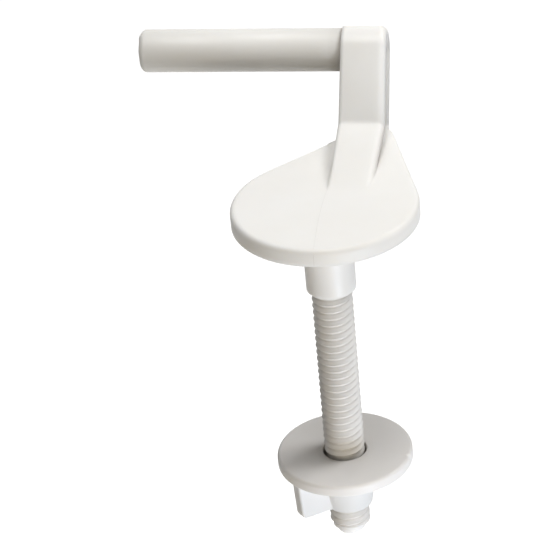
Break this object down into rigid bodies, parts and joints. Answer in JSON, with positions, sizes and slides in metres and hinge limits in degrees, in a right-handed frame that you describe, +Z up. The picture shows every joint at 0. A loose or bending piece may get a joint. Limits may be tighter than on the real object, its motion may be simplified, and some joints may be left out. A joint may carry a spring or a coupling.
{
  "type": "toilet seat hinge",
  "caption": "White plastic toilet seat hinge: teardrop base plate with a leaning post and sideways pin, and a threaded bolt with a broad washer and wing nut to clamp it to the pan.",
  "frame": {"origin": "on the bolt's axis at the flat underside of the hinge plate, where it sits on the pan", "axes": "+Z up along the bolt's axis, -X along the hinge pin towards its free end, +Y towards the back of the pan"},
  "size_m": [0.0872, 0.0888, 0.1386],
  "materials": {
    "hinge_plastic": "satin",
    "pin_plastic": "satin",
    "bolt_plastic": "satin",
    "washer_plastic": "satin",
    "nut_plastic": "satin"
  },
  "bodies": {
    "hinge": {"hinge_body": "hinge_plastic", "pivot_pin": "pin_plastic", "fixing_bolt": "bolt_plastic"},
    "washer": {"clamp_washer": "washer_plastic"},
    "nut": {"wing_nut": "nut_plastic"}
  },
  "joints": [
    {"name": "washer_slide", "type": "slide", "parent": "hinge", "child": "washer", "axis": [0, 0, 1], "range_m": [-0.01595, 0.05195]},
    {"name": "nut_spin", "type": "hinge", "parent": "washer", "child": "nut", "pos_m": [0, 0, -0.0823], "axis": [0, 0, 1], "range_deg": [-2520, 8280]}
  ],
  "couplings": [
    {"joint": "washer_slide", "follows": "nut_spin", "m_per_rad": 0.0003581}
  ]
}
